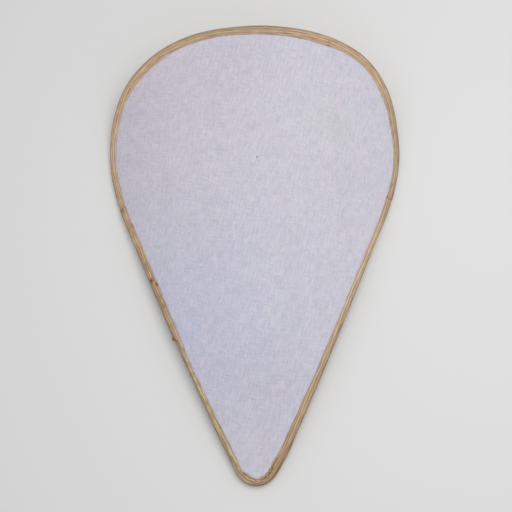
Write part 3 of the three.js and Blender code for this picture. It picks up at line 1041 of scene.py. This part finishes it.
def rawhide_material():
    material, tree, shader = new_material("rawhide", RAWHIDE_FINISH)
    drivers = noises(tree, RAWHIDE_NOISE) | mesh_traits(tree, RAWHIDE_TRAITS)
    broken = remap(tree, drivers["broken"], *BROKEN_RANGE)
    drivers["shown"] = mix_value(tree, drivers["steady"], broken, SHOWN_WHERE_STEADY)
    drivers["shown_low"] = remap(tree, drivers["lower"], *SHOWN_LOW_RANGE)
    drivers["near_point"] = remap(tree, drivers["lower"], *NEAR_POINT_RANGE)
    drivers["soaked"] = remap(tree, drivers["streak"], *SOAKED_RANGE)
    drivers["stain_soaked"] = remap(tree, drivers["soaked"], *STAIN_SOAKED_RANGE)
    drivers["dot"] = spot_at(tree, RAWHIDE_DOT_AT, RAWHIDE_DOT_SIZE)

    colour = lay_over(tree, RAWHIDE_TAN, drivers, RAWHIDE_LAYERS)
    tint = mix_colour(tree, remap(tree, drivers["warm"], *WARMTH_RANGE), COOL_TINT, WARM_TINT)
    colour = mix_colour(tree, 1.0, colour, tint, "MULTIPLY")
    colour = mix_colour(tree, 1.0, colour, drivers["tone"], "MULTIPLY")
    colour = lay_over(tree, colour, drivers, RAWHIDE_MARKS)
    tree.links.new(colour, shader.inputs["Base Color"])

    rough = remap(tree, drivers["streak"], *RAWHIDE_ROUGH_RANGE)
    tree.links.new(rough, shader.inputs["Roughness"])
    fine = calculate(tree, "MULTIPLY", drivers["fine"], FINE_IN_BUMP)
    height = calculate(tree, "ADD", drivers["streak"], fine)
    add_bump(tree, shader, height, RAWHIDE_BUMP_DEPTH, RAWHIDE_BUMP_STRENGTH)
    return material


# Plywood, in the same way

PLY_PALE = (0.700, 0.515, 0.315, 1)
PLY_TAN = (0.585, 0.400, 0.225, 1)
PLY_LINE = (0.430, 0.275, 0.140, 1)
PLY_NOISE = {
    "figure": (0, (40, 420), 3),
    "grain": (0, (2.2, 70), 4),
    "pores": (0, (0.6, 14), 2),
}
PLY_LAYERS = [
    ("figure", 0.35, 0.65, 1.00, PLY_TAN),
    ("rings", 0.75, 1.00, 0.35, PLY_LINE),
    ("grain", 0.50, 0.30, 0.50, PLY_LINE),
    ("pores", 0.42, 0.30, 0.50, PLY_LINE),
]
PLY_FINISH = {"Roughness": 0.7, "Specular IOR Level": 0.3}
PLY_RINGS = 9.0
PLY_BUMP_DEPTH = 0.3
PLY_BUMP_STRENGTH = 0.35


def plywood_material():
    material, tree, shader = new_material("plywood", PLY_FINISH)
    drivers = noises(tree, PLY_NOISE)
    drivers["rings"] = calculate(tree, "FRACT", calculate(tree, "MULTIPLY", drivers["figure"], PLY_RINGS))
    colour = lay_over(tree, PLY_PALE, drivers, PLY_LAYERS)
    tree.links.new(colour, shader.inputs["Base Color"])
    height = calculate(tree, "ADD", drivers["grain"], drivers["pores"])
    add_bump(tree, shader, height, PLY_BUMP_DEPTH, PLY_BUMP_STRENGTH)
    return material


# Studio

FLOOR_FINISH = {"Base Color": (0.80, 0.80, 0.80, 1), "Specular IOR Level": 0.1}
FLOOR_DETAIL = 2
FLOOR_ROUGH_RANGE = (0.3, 0.7, 0.88, 0.92)


def floor_material():
    material, tree, shader = new_material("floor", FLOOR_FINISH)
    mottle = noise(tree, add_node(tree, "ShaderNodeTexCoord").outputs["Object"], FLOOR_DETAIL)
    tree.links.new(remap(tree, mottle, *FLOOR_ROUGH_RANGE), shader.inputs["Roughness"])
    return material


def add_floor():
    bpy.ops.mesh.primitive_plane_add(size=FLOOR_SIZE)
    floor = bpy.context.object
    floor.name = "floor"
    floor.data.materials.append(floor_material())


def add_key_light():
    data = bpy.data.lights.new("key", "AREA")
    data.size = KEY_SIZE
    data.energy = KEY_POWER
    light = bpy.data.objects.new("key", data)
    light.location = KEY_PLACE
    light.rotation_euler = (Vector(KEY_AIM) - Vector(KEY_PLACE)).to_track_quat("-Z", "Y").to_euler()
    bpy.context.scene.collection.objects.link(light)


def add_sky():
    world = bpy.data.worlds.new("studio")
    bpy.context.scene.world = world
    world.use_nodes = True
    world.node_tree.nodes["Background"].inputs["Color"].default_value = SKY_COLOUR
    world.node_tree.nodes["Background"].inputs["Strength"].default_value = SKY_STRENGTH


def add_camera():
    """The photograph's view: along the shield's own normal, a little turned, leaned and rolled."""
    data = bpy.data.cameras.new("camera")
    data.sensor_width = SENSOR
    data.lens = SENSOR * FOCAL_PIXELS / FRAME_PIXELS
    data.clip_end = CAMERA_CLIP
    camera = bpy.data.objects.new("camera", data)
    turn = Matrix.Rotation(CAMERA_TURN, 4, "Y")
    lean = Matrix.Rotation(CAMERA_LEAN, 4, "X")
    roll = Matrix.Rotation(CAMERA_ROLL, 4, "Z")
    facing = (roll @ lean @ turn).transposed()
    place = Matrix.Translation((0, LENGTH / 2, 0)) @ facing
    place = SHIELD_FRAME @ place @ Matrix.Translation((*CAMERA_AIM, CAMERA_DISTANCE))
    place.translation *= MM
    camera.matrix_world = place
    bpy.context.scene.collection.objects.link(camera)
    bpy.context.scene.camera = camera


# Assembly

def main():
    add_camera()
    add_floor()
    add_key_light()
    add_sky()
    bpy.context.scene.view_settings.view_transform = "Standard"

    board = add_board()
    board.data.materials.append(plywood_material())
    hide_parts("shield_board")

    linen = add_linen()
    linen.data.materials.append(linen_material())
    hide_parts("linen_facing")

    rawhide = rawhide_material()
    for name, strip in STRIPS.items():
        add_edging(name, strip).data.materials.append(rawhide)


main()
